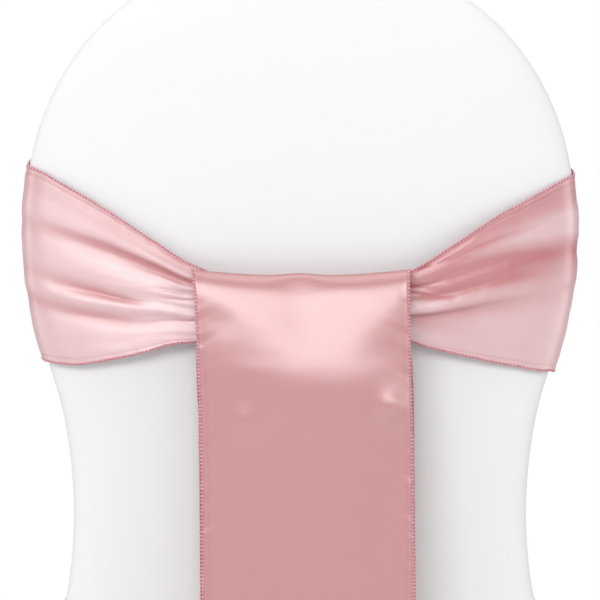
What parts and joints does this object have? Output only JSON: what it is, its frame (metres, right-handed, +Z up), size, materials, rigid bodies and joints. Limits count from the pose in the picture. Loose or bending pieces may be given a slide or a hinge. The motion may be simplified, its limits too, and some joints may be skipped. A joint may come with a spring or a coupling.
{
  "type": "satin chair sash tied on a covered banquet chair",
  "caption": "Satin sash tied round the back of a cloth-covered banquet chair, gathered in pleats to a knot under a folded tail that hangs down the back.",
  "frame": {"origin": "middle of the footprint on the floor", "axes": "+Z up, +Y toward the front of the seat, -Y toward the outer face of the back, where the sash is tied, +X to the right as seen from behind the chair"},
  "size_m": [0.4314, 0.5298, 0.9387],
  "materials": {
    "rose_satin": "satin",
    "white_cover": "matte stretch knit",
    "leg_steel": "painted"
  },
  "bodies": {
    "root": {"sash_wing_left": "rose_satin", "sash_wing_right": "rose_satin", "sash_band": "rose_satin", "sash_knot": "rose_satin", "sash_tail_over": "rose_satin", "sash_tail_under": "rose_satin", "chair_back": "white_cover", "chair_seat": "white_cover", "chair_skirt": "white_cover", "chair_leg_back_left": "leg_steel", "chair_leg_back_right": "leg_steel", "chair_leg_front_left": "leg_steel", "chair_leg_front_right": "leg_steel"}
  },
  "joints": []
}
